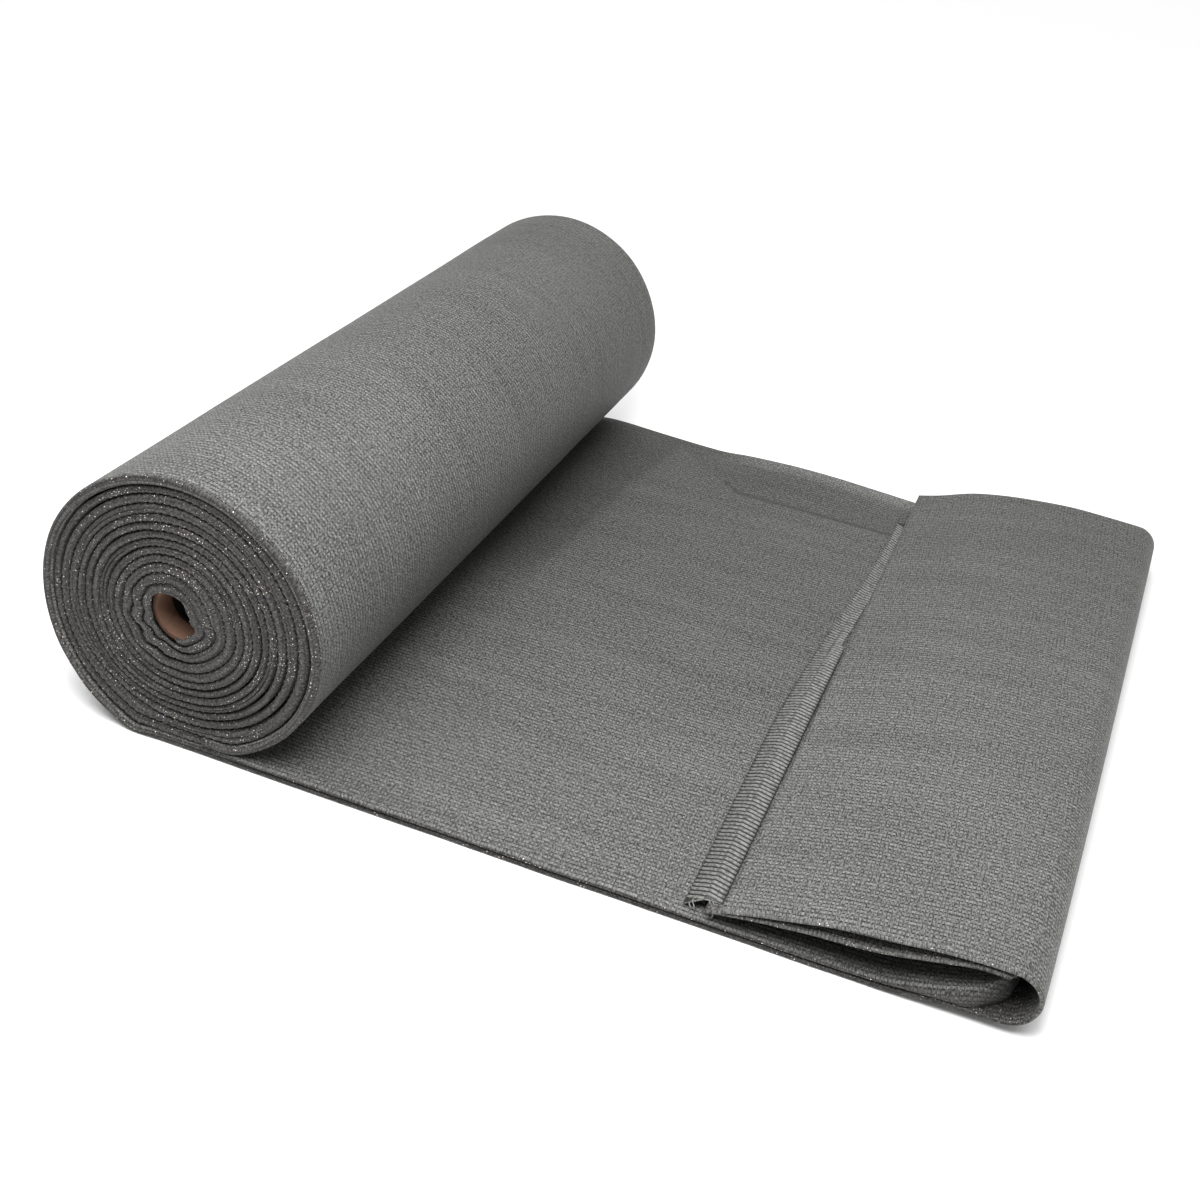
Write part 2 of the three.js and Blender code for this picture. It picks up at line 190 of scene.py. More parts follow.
# %% The spiral
TURNS = [  # radius at the left, the top and the right, and the distance down
    (70.5, 70.5, 70.3, 67.6),
    (64.4, 65.4, 64.7, 62.7),
    (60.2, 61.1, 59.0, 57.4),
    (56.3, 56.7, 53.8, 53.6),
    (51.9, 52.0, 49.3, 49.4),
    (48.2, 48.1, 45.2, 45.6),
    (44.4, 44.2, 41.2, 41.8),
    (40.5, 40.2, 37.2, 38.0),
    (36.6, 36.2, 33.2, 34.2),
    (32.7, 32.2, 29.3, 30.4),
    (28.9, 28.3, 25.6, 26.8),
    (25.2, 24.6, 22.1, 23.3),
    (21.6, 21.0, 19.6, 20.2),
    (18.6, 18.3, 18.0, 18.2),
]
SHEET_END_TURN = 0.97  # the outermost turn belongs to the loose end, which stops here
WINDING_START_TURN = 0.9725
WINDING_END_TURN = 13.0
FLAT_BLEND = 0.8  # millimetres over which a flat runs into the round
ROUND_FROM = 3  # from this turn inwards the turns are pressed oval, without a flat
TUBE_RADIUS = 15.4
TUBE_CENTRE = (-1.5, 68.4)


def turn_knots():
    first_step = TURNS[0][0] - TURNS[1][0]
    knots = [(-0.25, TURNS[0][2] + first_step)]
    for lap, (left, top, right, down) in enumerate(TURNS):
        if lap >= ROUND_FROM:
            knots.append((lap, down))
        knots += [(lap + 0.25, left), (lap + 0.5, top), (lap + 0.75, right)]
    return knots


KNOTS = turn_knots()


def winding_radius(turn):
    """Outer radius of the spiral, turn being counted from the floor inwards."""
    after = next((i for i, knot in enumerate(KNOTS) if knot[0] > turn), len(KNOTS) - 1)
    (t0, r0), (t1, r1) = KNOTS[max(after, 1) - 1], KNOTS[max(after, 1)]
    share = clamp01((turn - t0) / (t1 - t0))
    radius = mix(r0, r1, mix(share, ease(0, 1, share), 0.5))
    pressed = TURNS[min(round(turn), len(TURNS) - 1)][3]
    downwards = math.cos(turn * math.tau)
    if downwards < 0.5 or turn > ROUND_FROM - 0.5:
        return radius
    flat = pressed / downwards
    blend = clamp01(0.5 + (flat - radius) / (2 * FLAT_BLEND))
    return mix(flat, radius, blend) - FLAT_BLEND * blend * (1 - blend)


def angle_of(turn):
    return -math.pi / 2 - turn * math.tau


def around_axis(radius, angle):
    return radius * math.cos(angle), AXIS_HEIGHT + radius * math.sin(angle)


print("spiral radius at the top, turn by turn:", [round(winding_radius(k + 0.5), 1) for k in range(13)])

# %% [markdown]
# Meshes of cloth. Each cloth piece is a row of rings: a ring goes once round the cloth's section, and
# the next ring is a little further along the cloth. One helper joins the rings to a closed mesh.
# It also writes a UV map in metres, u along the cloth and v across it, so that the knit runs with
# the cloth through every bend. Two values are kept at each point. One is how much the point belongs to a
# folded edge, where painted shade darkens the yarn and painted glints are put into its colour. The other is
# a tone of
# painted shade and painted light: below 1 where fewer plies lie and in other places painted as shaded,
# above 1 where light is painted coming through a thin edge.

# %% Helper: a closed mesh from rings
def add_rings(vertices, faces, rings):
    """Joins rings to a closed body with a cap at each end."""
    base, count = len(vertices), len(rings[0])
    vertices.extend(point for ring in rings for point in ring)
    for i in range(len(rings) - 1):
        for j in range(count):
            a, b = base + i * count, base + (i + 1) * count
            k = (j + 1) % count
            faces.append((a + j, a + k, b + k, b + j))
    faces.append(tuple(base + j for j in range(count)))
    faces.append(tuple(base + (len(rings) - 1) * count + j for j in reversed(range(count))))


def new_piece(name, vertices, faces):
    mesh = bpy.data.meshes.new(name)
    mesh.from_pydata([tuple(v) for v in vertices], [], faces)
    piece = bpy.data.objects.new(name, mesh)
    bpy.context.collection.objects.link(piece)
    return piece


def cloth_mesh(name, rings, lengths, marks, around=None, region_starts=()):
    """rings of points in metres, the cloth's length at each ring, and named values, one a point.
    around is v at each ring point; at a region's start the strip before it runs on by its length."""
    count = len(rings[0])
    vertices, faces, spread = [], [], []
    add_rings(vertices, faces, rings)
    around = around or [arc_lengths(ring) for ring in rings]

    def v_at(i, j, ends_strip):
        if ends_strip and (j == count or j in region_starts):
            return around[i][j - 1] + (rings[i][j % count] - rings[i][j - 1]).length
        return around[i][j]

    for i in range(len(rings) - 1):
        for j in range(count):
            for ring, ends in ((i, False), (i, True), (i + 1, True), (i + 1, False)):
                spread += [lengths[ring], v_at(ring, j + ends, ends)]
    for point in faces[-2] + faces[-1]:
        spread += [vertices[point].x, vertices[point].y]
    piece = new_piece(name, vertices, faces)
    piece.data.uv_layers.new(name="cloth").data.foreach_set("uv", spread)
    for mark, values in marks.items():
        piece.data.attributes.new(mark, "FLOAT", "POINT").data.foreach_set("value", values)
    finish_mesh(piece)
    return piece


def arc_lengths(ring):
    """Length round a ring up to each point."""
    total, lengths = 0.0, [0.0]
    for i, point in enumerate(ring):
        total += (ring[(i + 1) % len(ring)] - point).length
        lengths.append(total)
    return lengths


def finish_mesh(piece):
    """Turns the faces outwards and shades them smooth."""
    bpy.ops.object.select_all(action="DESELECT")
    piece.select_set(True)
    bpy.context.view_layer.objects.active = piece
    bpy.ops.object.mode_set(mode="EDIT")
    bpy.ops.mesh.select_mode(type="FACE")
    bpy.ops.mesh.select_all(action="SELECT")
    bpy.ops.mesh.normals_make_consistent(inside=False)
    bpy.ops.object.mode_set(mode="OBJECT")
    bpy.ops.object.shade_smooth()


print("helper ready")

# %% [markdown]
# The wound turns. Four plies make one turn: an outer pair and an inner pair, each folded at the near
# edge, so each turn shows two puffed fold edges with a shallow groove, and a deeper groove before
# the next turn. No two turns end at quite the same place, and near the tube the cloth is crumpled and
# leans in over the tube's end. One field of small moves does that for all plies at one place, so no
# ply is pushed through its neighbour.

# %% The wound turns
RING_STEP = STITCH / 3  # cloth from ring to ring, so that a stitch gets three rings
SMALLEST_RADIUS = 24  # rings stand no closer than this radius needs
WAVE_HEIGHT = 0.45
WRINKLE_HEIGHT = 1.5  # crumpled turns on the lower left, near the tube
WRINKLE_DEPTH = 60
LEAN_FROM = 31.0  # turns inside this radius lean in over the tube
LEAN_REACH = 12.5
LEAN_DEPTH = 7.0
TUBE_SHIFT = (15, 45)  # between these radii the turns move over to the tube's own middle
RIDGE_DEPTH = 2.3  # how far back a fold edge is rounded when it is one ridge
PUFF_ROUND = 1.3  # and when its two pairs are parted
FAR_ROUND = 1.9
PUFF_STEPS = 5
GROOVE_DEPTH = 2.4
BEAD = 0.26  # how far each stitch stands out on a fold edge
LAST_TURN_THICK = 2.4
THINNEST = 1.2
NEAR_EDGE = range(2, 15)  # points of the section that lie on the near fold edge
FAR_EDGE = range(19, 25)  # and on the far one


def smooth_noise(x, y, z, seed):
    return noise.noise(Vector((x + 17.3 * seed, y - 9.1 * seed, z + 3.7 * seed)))


def ring_noise(angle, scale, height, seed):
    """Noise that closes round the roll."""
    return smooth_noise(math.cos(angle) * scale, math.sin(angle) * scale, height, seed)


def crumple(radius, angle, depth):
    """How far the winding is moved outwards at a place, in millimetres. depth is from the cloth's end."""
    wave = WAVE_HEIGHT * ring_noise(angle, 1.6, radius / 16, 1)
    degrees = math.degrees(angle) % 360
    left_low = bump(degrees, 205, 75) * bump(radius, 24, 8)
    wrinkle = WRINKLE_HEIGHT * left_low * math.sin(angle * 11 + 0.35 * radius)
    fade = 1 - ease(0, WRINKLE_DEPTH, depth)
    lean_share = clamp01((LEAN_FROM - radius) / (LEAN_FROM - TUBE_RADIUS))
    mouth = 1 + 0.20 * math.cos(2 * (angle - 2.23)) + 0.07 * math.cos(5 * angle + 0.6)
    mouth -= 0.26 * bump(degrees, 45, 80)
    lean = LEAN_REACH * lean_share ** 1.6 * (1 - clamp01(depth / LEAN_DEPTH)) ** 0.8 * (2 - mouth)
    return wave + wrinkle * fade - lean


def edge_out(turn, pair, seed):
    """How far inside the roll's end a fold edge stops, in millimetres."""
    angle = angle_of(turn)
    slow = ring_noise(angle, 0.9, turn * 0.55 + 5 * pair, seed)
    fast = ring_noise(angle, 5, turn * 0.9 + 5 * pair, seed + 1)
    return max(0.15, 0.95 + 1.3 * slow + 0.35 * fast)


def puff(n0, n1, edge_at, radius_y):
    """Points round one fold edge: across the ply pair from n0 to n1, bulging to edge_at in Y."""
    points = []
    for k in range(PUFF_STEPS + 1):
        angle = math.pi * k / PUFF_STEPS
        n = mix(n0, n1, 0.5 - 0.5 * math.cos(angle))
        points.append((n, edge_at + radius_y * (1 - math.sin(angle))))
    return points


def winding_section(turn, thick, length):
    """The section as (distance inwards, Y): near edge with one or two puffs, far edge with one."""
    angle = angle_of(turn)
    bead = BEAD * math.cos(length * math.tau / STITCH) * ease(2.2, 4.2, thick * 1.1)
    parting = ring_noise(angle, 1.1, turn * 0.8, 5)
    parted = clamp01(1.5 * parting - 0.05)
    middle = thick * (0.5 + 0.06 * ring_noise(angle, 1, turn, 6))
    gap = 0.3 * parted
    outer_edge = edge_out(turn, 0, 3)
    inner_edge = mix(outer_edge, edge_out(turn, 1, 3), parted)
    far_edge = WIDTH - edge_out(turn, 0, 8)
    two = puff(0, middle - gap / 2, outer_edge, PUFF_ROUND) + [(middle, outer_edge + GROOVE_DEPTH)]
    two += puff(middle + gap / 2, thick, inner_edge, PUFF_ROUND)
    near = []
    for n, y in two:
        one = outer_edge + RIDGE_DEPTH * (1 - math.sqrt(max(0, 1 - (2 * n / thick - 1) ** 2)))
        near.append((n + bead * 0.6, mix(one, y, parted) + bead * math.cos(3 * n / thick)))
    front_near = [(0, 9), (0, 4.5)]
    back = [(thick, y) for y in (4.5, 9, 60, WIDTH - 4)]
    far = [(n, 2 * far_edge - y) for n, y in puff(thick, 0, far_edge, FAR_ROUND)]
    return front_near + near + back + far + [(0, WIDTH - 4), (0, 60)]


def looseness(turn):
    """Air between this turn and the next inner one, in millimetres: small, with a few open places."""
    angle = angle_of(turn)
    wave = ring_noise(angle, 0.8, turn * 1.3, 9)
    low_right = bump(math.degrees(angle) % 360, 325, 75) * bump(turn, 2.2, 3.2)
    upper_left = bump(math.degrees(angle) % 360, 150, 95) * bump(turn, 1.2, 1.6)
    return 0.22 + 0.9 * max(0, wave) + 1.1 * low_right + 0.7 * upper_left


def winding_piece():
    rings, lengths = [], []
    turn, length = WINDING_START_TURN, 0.0
    while turn < WINDING_END_TURN:
        radius = winding_radius(turn)
        covers_a_turn = turn + 1 < len(TURNS) - 0.3
        below = winding_radius(turn + 1) if covers_a_turn else radius - LAST_TURN_THICK
        thick = max(THINNEST, radius - below - looseness(turn))
        angle = angle_of(turn)
        ring = []
        for n, y in winding_section(turn, thick, length):
            r = radius - n
            r += crumple(r, angle, min(y, WIDTH - y))
            x, z = around_axis(r, angle)
            drift = 1 - ease(*TUBE_SHIFT, r)
            ring.append(place(x + TUBE_CENTRE[0] * drift, y, z + (TUBE_CENTRE[1] - AXIS_HEIGHT) * drift))
        rings.append(ring)
        lengths.append(length * MM)
        step = RING_STEP / (max(radius, SMALLEST_RADIUS) * math.tau)
        turn += step
        length += step * radius * math.tau
    # the fold edges are marked for painted shade and painted glints
    fold_shade_glint = [1.0 if k in NEAR_EDGE or k in FAR_EDGE else 0.0 for k in range(len(rings[0]))]
    marks = {"fold_shade_glint": fold_shade_glint * len(rings), "tone": [1.0] * len(fold_shade_glint) * len(rings)}
    return cloth_mesh("winding", rings, lengths, marks), length


winding, winding_length = winding_piece()
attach(winding, "root")
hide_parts("wound_cloth")
print(f"winding: {winding_length / 1000:.2f} m of folded cloth, {len(winding.data.polygons)} faces")

# %% [markdown]
# The loose end. It starts as the outermost turn of the roll, runs out flat on the floor, bends up and
# comes back as the flap. Tables give its section: a row for each place where the cloth changes
# direction, with the outer face, the inner face, and how far that place is moved at the far edge.
# A smooth curve through the rows gives the places between. A draping simulation could make such a
# sheet too, but these folds were laid by hand, so rows that say where each fold lies follow it
# better.

# %% The loose end's tables
LAID_LIFTS = [(26, 0), (50, 2.6), (85, 1.4), (127, 0.1), (150, 1.9), (180, 3.1), (210, 3.0), (240, 1.5)]
STRIP = [{"outer": (-12, 0), "inner": (-13, LAYER)}]
STRIP += [{"outer": (x, 0), "inner": (x, LAYER), "lift": lift} for x, lift in LAID_LIFTS]
STRIP += [
    {"outer": (268, 0), "inner": (268, 4.6), "far": (2, 0), "far_inner": (2, 0)},
    {"outer": (300, 0), "inner": (300, 4.7), "far": (6, 0), "far_inner": (6, -0.1)},
    {"outer": (330, 0.6), "inner": (329, 5.8), "far": (14, -0.6), "far_inner": (15, -1.2), "puff": 0.5},
    {"outer": (348, 2.2), "inner": (347, 10.0), "far": (18, -2.2), "far_inner": (19, -5.3), "puff": 1},
    {"outer": (366, 3.3), "inner": (365, 16.0), "far": (20, -3.3), "far_inner": (20, -10.8), "puff": 1},
]
FLAP = [
    {"outer": (366, 32.4), "inner": (366, 27.0), "far": (15, -3.6), "far_inner": (15, -3.4)},
    {"outer": (348, 30.7), "inner": (348, 22.9), "far": (12, -1.4), "far_inner": (12, 1.2)},
    {"outer": (329.5, 28.3), "inner": (329.5, 18.9), "far": (10.5, -0.3), "far_inner": (10.5, 3.9)},
    {"outer": (311, 25.6), "inner": (311, 16.6), "far": (8, -0.3), "far_inner": (8, 3.3)},
    {"outer": (293, 21.4), "inner": (293, 14.7), "far": (6, -0.5), "far_inner": (6, 1.0)},
    {"outer": (275, 17.1), "inner": (273, 12.1), "far": (4.5, -3.4), "far_inner": (9, -3.4)},
    {"outer": (261.5, 13.6), "inner": (255.1, 9.0), "far": (4, -4.0), "far_inner": (18.4, -3.9)},
]
BEND = {  # X, Z and radius of each face's half circle
    "outer": (380.3, 18.3, 14.3), "far_outer": (402.8, 14.1, 13.9),
    "inner": (379.0, 24.4, 3.0), "far_inner": (399.5, 14.6, 8.4),
}
BEND_STEPS = 8
BEND_RECESS = 26.0  # inside the bend the inner pair's edge stands this far back
ROLL_STEPS = 24
FLOOR_TURN = 1 / 16  # the outermost turn leaves the roll here
SLIT_SHORT = 11.0  # depth of the groove between the pairs, on the roll and strip
SLIT_STOP = 12.0  # on the flap it stops this far from the far edge
SLIT_BEGINS = 0.1  # share of its full depth where the bend begins
END_SLANT = (0.3, 0.9)  # shares of the width between which the cloth's end runs slanting


def station(outer, inner, far=(0, 0), far_inner=(0, 0), **others):
    return {
        "outer": outer, "inner": inner,
        "far_outer": (outer[0] + far[0], outer[1] + far[1]),
        "far_inner": (inner[0] + far_inner[0], inner[1] + far_inner[1]),
        "puff": 0.0, "lift": 0.0, "recess": 0.0, "slit": 0.0, **others,
    }


def turn_stations():
    """The outermost turn of the roll, from where it passes in under the roll to the floor."""
    rows = []
    for i in range(ROLL_STEPS + 1):
        turn = mix(SHEET_END_TURN, FLOOR_TURN, i / ROLL_STEPS)
        radius, angle = winding_radius(turn), angle_of(turn)
        rows.append(station(around_axis(radius, angle), around_axis(radius - LAYER, angle)))
    return rows


def bend_stations():
    rows = []
    for i in range(BEND_STEPS + 1):
        share = i / BEND_STEPS
        angle = -math.pi / 2 + math.pi * share
        row = {"puff": 1 - ease(0, 0.4, share), "lift": 0.0}
        row["recess"] = math.sin(math.pi * clamp01(0.12 + 0.88 * share))
        row["slit"] = mix(SLIT_BEGINS, 1, ease(0, 1, share))
        for name, (x, z, radius) in BEND.items():
            row[name] = (x + radius * math.cos(angle), z + radius * math.sin(angle))
        rows.append(row)
    return rows


def strip_stations():
    rows = [station(**row) for row in STRIP]
    rows[-1]["slit"] = SLIT_BEGINS
    return rows


flap_stations = [station(**row, slit=1.0) for row in FLAP]
stations = turn_stations() + strip_stations() + bend_stations() + flap_stations
print(len(stations), "rows of section along the loose end")

# %% [markdown]
# From rows to a smooth surface. A curve through four neighbouring rows passes through each row and
# keeps its direction, so the folds stay where the table puts them and the cloth between is smooth.

# %% Smooth curves through the rows
def curve_value(values, position):
    """Catmull-Rom curve through evenly numbered values."""
    i = min(int(position), len(values) - 2)
    share = position - i
    p0, p1 = values[max(i - 1, 0)], values[i]
    p2, p3 = values[i + 1], values[min(i + 2, len(values) - 1)]
    return 0.5 * (
        2 * p1 + (p2 - p0) * share + (2 * p0 - 5 * p1 + 4 * p2 - p3) * share ** 2
        + (3 * p1 - p0 - 3 * p2 + p3) * share ** 3
    )


def column(name):
    return [row[name] for row in stations]


FACES = {name: tuple(zip(*column(name))) for name in ("outer", "inner", "far_outer", "far_inner")}
SINGLE = {name: column(name) for name in ("puff", "lift", "recess", "slit")}
STRIP_STARTS = ROLL_STEPS + 1
BEND_STARTS = STRIP_STARTS + len(STRIP)
FLAP_STARTS = BEND_STARTS + BEND_STEPS + 1
LAST = len(stations) - 1
LIFT_FROM = 0.84  # the strip's far edge lifts off the floor from this share of the width on
NORMAL_STEP = 0.05


def end_slant(across):
    return ease(*END_SLANT, across)


def laid_waves(x, across):
    """Slight unevenness of the laid cloth and flap: slow waves and small ones, in millimetres."""
    slow = 0.9 * smooth_noise(x / 95, across * 3.2, 0, 11)
    return slow + 0.35 * smooth_noise(x / 30, across * 9, 0, 12)


def face_point(position, face, across):
    """A point of the outer or inner face, as X and Z in millimetres."""
    near = [curve_value(values, position) for values in FACES[face]]
    far = [curve_value(values, position) for values in FACES["far_" + face]]
    share = across ** 0.9
    if face == "inner" and position > LAST - 1:
        share = mix(share, end_slant(across), position - (LAST - 1))
    lift = curve_value(SINGLE["lift"], position) * ease(LIFT_FROM, 1, across)
    return mix(near[0], far[0], share), mix(near[1], far[1], share) + lift


def off(point, position, face, across, distance):
    """A point moved square to a face."""
    before = face_point(max(position - NORMAL_STEP, 0), face, across)
    after = face_point(min(position + NORMAL_STEP, LAST), face, across)
    dx, dz = after[0] - before[0], after[1] - before[1]
    share = distance / math.hypot(dx, dz)
    return point[0] - dz * share, point[1] + dx * share


def halfway(a, b, share):
    return mix(a[0], b[0], share), mix(a[1], b[1], share)


print("curves ready; the flap ends at X", [round(v, 1) for v in face_point(LAST, "outer", 0)])

# %% [markdown]
# The sheet itself. Its ring goes across the outer face, round the fold at the far edge, back
# across the inner face, round the inner pair's fold edge, in and out of the groove between the pairs,
# and round the outer pair's fold edge. In the flap that groove reaches nearly to the far fold, so the
# flap is two thin sheets there. On the laid part the inner plies stop short of the far edge, and the
# surface steps down along a bent line.

# %% The loose sheet's rings
ACROSS = [0, 0.004, 0.012, 0.03, 0.06, 0.1, 0.16, 0.23, 0.3, 0.38, 0.46, 0.53, 0.58, 0.63, 0.68, 0.73,
          0.77, 0.8, 0.83, 0.855, 0.866, 0.874, 0.882, 0.895, 0.91, 0.925, 0.936, 0.944, 0.952, 0.965,
          0.98, 0.99, 1.0]
SPACING = 3.8  # millimetres from ring to ring
EDGE_ROUND = 1.3  # a fold edge is rounded over this much of the width
HEM_SWELL = 0.7  # the flap's upper fold edge is a little thicker than the cloth behind it
PLY_STEP = 1.2  # how far the laid cloth steps down where the upper plies end
PLY_TOP = [(104, 444), (128, 424), (157, 400), (400, 399)]  # (X, Y) along their far edge
PLY_LEFT = [(248, 82), (275, 86), (372, 91), (444, 104)]  # (Y, X) along their edge by the roll
CREASE_AT, CREASE_HALF = 0.944, 0.009  # a crease round the roll near its far end
CREASE_HEIGHT = 0.35
FAR_FOLD_POINTS = 3  # a ring has these points between its two faces at the far fold
HEM_POINTS = 4  # and these round each near fold edge
SLIT_SHARES = (0, 0.12, 0.5, 1)
FACE_POINTS = len(ACROSS)
INNER_ENDS = 2 * FACE_POINTS + FAR_FOLD_POINTS
SLIT_STARTS = INNER_ENDS + HEM_POINTS
SLIT_TURNS = SLIT_STARTS + len(SLIT_SHARES)


def table_value(table, at):
    """Straight lines between the points of a small table."""
    if at <= table[0][0]:
        return table[0][1]
    for (x0, y0), (x1, y1) in zip(table, table[1:]):
        if at <= x1:
            return mix(y0, y1, (at - x0) / (x1 - x0))
    return table[-1][1]


def upper_plies(x, y):
    """1 where the upper plies of the laid strip lie on the lower ones, 0 where they don't."""
    right_of_edge = ease(-3, 3, x - table_value(PLY_LEFT, y))
    left_part = mix(1, right_of_edge, ease(200, 270, y))
    return left_part * (1 - ease(-2.5, 2.5, y - table_value(PLY_TOP, x)))


def sheet_positions():
    positions = []
    for i in range(LAST):
        a, b = face_point(i, "outer", 0), face_point(i + 1, "outer", 0)
        pieces = max(2, round(math.dist(a, b) / SPACING))
        if BEND_STARTS - 1 <= i < FLAP_STARTS:
            pieces = max(pieces, 4)
        positions += [i + k / pieces for k in range(pieces)]
    return positions + [LAST]


def sheet_ring(position):
    recess = BEND_RECESS * max(0, curve_value(SINGLE["recess"], position))
    puffed = clamp01(curve_value(SINGLE["puff"], position))
    on_strip = ease(STRIP_STARTS, STRIP_STARTS + 1, position)
    on_strip *= 1 - ease(BEND_STARTS - 4, BEND_STARTS - 2, position)
    slit = mix(SLIT_SHORT, WIDTH - SLIT_STOP, clamp01(curve_value(SINGLE["slit"], position)))
    wobble = 0.5 * smooth_noise(position * 0.9, 0, 0, 21)
    rolled = 1 - ease(STRIP_STARTS - 1, STRIP_STARTS + 2, position)
    rounding = mix(EDGE_ROUND, RIDGE_DEPTH, rolled)
    flap_share = ease(FLAP_STARTS, FLAP_STARTS + 1, position)

    def y_at(across, start=None):
        return mix(rounding if start is None else start, WIDTH - EDGE_ROUND, across)

    def cap_y(share, pair_share):
        """Y round a fold edge: share goes across one pair, pair_share across both."""
        own = EDGE_ROUND * (1 - math.sin(math.pi * share))
        both = RIDGE_DEPTH * (1 - math.sqrt(max(0, 1 - (2 * pair_share - 1) ** 2)))
        return mix(own, both, rolled)

    def outer(across):
        crease = CREASE_HEIGHT * rolled * bump(across, CREASE_AT, CREASE_HALF)
        crease -= HEM_SWELL * flap_share * bump(across, 0.012, 0.014)
        return off(face_point(position, "outer", across), position, "outer", across, crease)

    def inner(across):
        point = face_point(position, "inner", across)
        there = upper_plies(point[0], across * WIDTH)
        step_down = (1 - there) * PLY_STEP * on_strip
        return off(point, position, "inner", across, -step_down)

    pair = PAIR + 0.45 * PAIR_GAP * rolled

    def outer_back(across):
        return off(outer(across), position, "outer", across, pair)

    def inner_back(across):
        thin = off(face_point(position, "inner", across), position, "inner", across, -pair)
        filled = off(outer(across), position, "outer", across, PAIR + PAIR_GAP)
        return halfway(thin, filled, puffed * (1 - ease(0.05, 0.3, across)))

    def shaped(point, y, across):
        """Adds the slow unevenness, the same through all plies of one place."""
        x, z = point
        if position >= STRIP_STARTS:
            return place(x, y, max(z + rise(position, x, across), 0.02))
        swell = 1 + 0.006 * smooth_noise(x / 40, y / 70, z / 40, 14)
        return place(x * swell, y, max(0.02, AXIS_HEIGHT + (z - AXIS_HEIGHT) * swell))

    deep = (slit - EDGE_ROUND) / (WIDTH - 2 * EDGE_ROUND)
    hem_shares = [k / (HEM_POINTS + 1) for k in range(1, HEM_POINTS + 1)]
    points, around = [], []

    def add(point, y, across, v):
        points.append(shaped(point, y, across))
        around.append(v * MM)

    for across in ACROSS:
        y = y_at(across) + wobble * (1 - across)
        add(outer(across), y, across, y)
    outer_far, inner_far = outer(1), inner(1)
    for k in range(1, FAR_FOLD_POINTS + 1):
        share = k / (FAR_FOLD_POINTS + 1)
        bulge = math.sin(math.pi * share)
        add(halfway(outer_far, inner_far, share), WIDTH - EDGE_ROUND * (1 - bulge), 1, WIDTH + 1.4 * k)
    for across in reversed(ACROSS):
        y = y_at(across, rounding + recess) + wobble * (1 - across)
        add(inner(across), y, across, 2 * WIDTH + 6 - y)
    a, b = inner(0), inner_back(0)
    for share in hem_shares:
        half = halfway(a, b, share)
        y = recess + wobble + cap_y(share, 1 - share / 2)
        add(half, y, 0, 2 * WIDTH + 5 - recess + math.dist(a, half))
    slit_start = mix(EDGE_ROUND, 0.3, rolled)
    for share in SLIT_SHARES:
        y = y_at(deep * share, slit_start + recess) + wobble * (1 - share)
        add(inner_back(deep * share), y, deep * share, 3 * WIDTH + y)
    for share in reversed(SLIT_SHARES):
        y = y_at(deep * share, slit_start) + wobble * (1 - share)
        add(outer_back(deep * share), y, deep * share, 5 * WIDTH - y)
    a, b = outer_back(0), outer(0)
    for share in hem_shares:
        half = halfway(a, b, share)
        add(half, wobble + cap_y(share, 0.5 - share / 2), 0, 5 * WIDTH + math.dist(a, half))
    return points, around


def rise(position, x, across):
    """Unevenness of the laid cloth and flap; none where the roll stands on it or at the bend."""
    flap = ease(FLAP_STARTS, FLAP_STARTS + 1.5, position)
    clear_of_roll = ease(STRIP_STARTS + 1.2, STRIP_STARTS + 3, position)
    strip = clear_of_roll * (1 - ease(BEND_STARTS - 3, BEND_STARTS - 1, position))
    return (0.30 * strip + 0.8 * flap) * (laid_waves(x, across) + 0.4 * strip)


print(len(sheet_positions()), "rings of", len(sheet_ring(LAST)[0]), "points along the loose sheet")

# %% [markdown]
# The tones, which are painted shade and painted light. On the laid strip the cloth is painted darker
# beside the roll, in creases, inside the fold, towards its far part and where only the lower plies
# lie, and lighter at its thin far edge; the flap is painted darker towards its far part and inside
# the fold. These tones go with the cloth, so they are kept at its points. Then the sheet is made.

# %% The loose sheet
SHADED_TONE = 0.70  # painted shade on the faces inside the fold
# painted shade towards the flap's far part
FLAP_FAR_SHADE = 0.90
# painted shade in the crease round the roll
CREASE_SHADE = 0.84
LAID_SHADES = (0.98, 0.81)  # painted shade of the laid strip, at its near part and at its far part
# painted shadow of the roll on the laid strip beside it
ROLL_SHADOW_TONE = 0.9
LOWER_PLY_SHADES = (0.74, 0.87)  # painted shade where only the lower plies lie, beside the roll and away from it
# painted shadow line along the edge of the upper plies
PLY_EDGE_SHADOW = 0.45
THIN_EDGE = 0.8  # the strip's far edge is thin, so light comes through it


def fold_shade_glint_marks(position, count):
    """How much painted shade and painted glint the folded edges get: most on the roll and strip, least on
    the flap.
    """
    on_flap = ease(BEND_STARTS - 2, FLAP_STARTS - 3, position)
    lower, upper = mix(0.9, 0.7, on_flap), mix(1.0, 0.55, on_flap)
    values = [0.0] * INNER_ENDS + [lower] * (SLIT_TURNS - INNER_ENDS) + [upper] * (count - SLIT_TURNS)
    values[0] = upper * 0.6
    return values


# painted shade and painted light of the laid strip, kept as its tone
def laid_shade_tone(position, across):
    x = face_point(position, "inner", across)[0]
    laid = mix(*LAID_SHADES, ease(0.05, 0.6, across)) * mix(ROLL_SHADOW_TONE, 1.0, ease(80, 220, x))
    there = upper_plies(x, across * WIDTH)
    crease = PLY_EDGE_SHADOW * bump(there, 0.45, 0.45) * ease(100, 150, x)
    thin_edge = THIN_EDGE * ease(0.955, 0.99, across) * ease(120, 170, x)
    lower_ply_shade = mix(*LOWER_PLY_SHADES, ease(95, 125, x))
    plies = mix(lower_ply_shade, 1, there) - crease + thin_edge
    # painted shade on the laid strip under the flap
    under_flap = ease(0, 15, x - FLAP[-1]["inner"][0])
    return plies * mix(laid, SHADED_TONE, under_flap)


